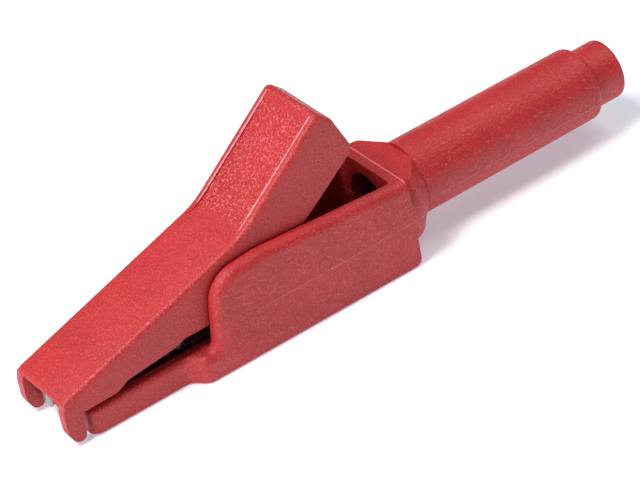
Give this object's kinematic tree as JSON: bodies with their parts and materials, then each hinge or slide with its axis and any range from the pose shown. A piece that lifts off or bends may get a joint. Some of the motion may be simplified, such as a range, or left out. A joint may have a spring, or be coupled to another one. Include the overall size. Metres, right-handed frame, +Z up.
{
  "type": "insulated alligator clip with test socket",
  "caption": "Sprung plastic-covered alligator clip with toothed metal jaws, a thumb lever and a 4 mm plug socket in a round barrel.",
  "frame": {"origin": "centre of the bounding box in X and Y, at the flat bottom", "axes": "+X along the barrel towards the socket, +Z up from the flat bottom, Y across the jaws"},
  "size_m": [0.0802, 0.0138, 0.0239],
  "materials": {
    "red_plastic": "fine spark-eroded satin",
    "nickel": "nickel plated",
    "spring_steel": "bright drawn wire",
    "brass": "turned, satin"
  },
  "bodies": {
    "housing": {"lower_housing": "red_plastic", "rear_sleeve": "red_plastic", "socket_bush": "red_plastic", "socket_contact": "brass", "contact_spring_ring": "spring_steel", "lower_jaw_frame": "nickel", "lower_jaw_rivet_front": "nickel", "lower_jaw_rivet_rear": "nickel", "tail_rivet": "nickel", "hinge_pin": "nickel", "spring_bobbin": "brass", "return_spring": "spring_steel", "pin_washer_near": "nickel", "pin_washer_far": "nickel"},
    "lever": {"upper_lever": "red_plastic", "upper_jaw_frame": "nickel", "upper_jaw_rivet_front": "nickel", "upper_jaw_rivet_rear": "nickel"}
  },
  "joints": [
    {"name": "jaw_hinge", "type": "hinge", "parent": "housing", "child": "lever", "pos_m": [-0.0144, 0, 0.008], "axis": [0, 1, 0], "range_deg": [0, 24], "stiffness_Nm_per_rad": 0.12, "springref_deg": -40.11, "deforming": ["return_spring"]}
  ]
}
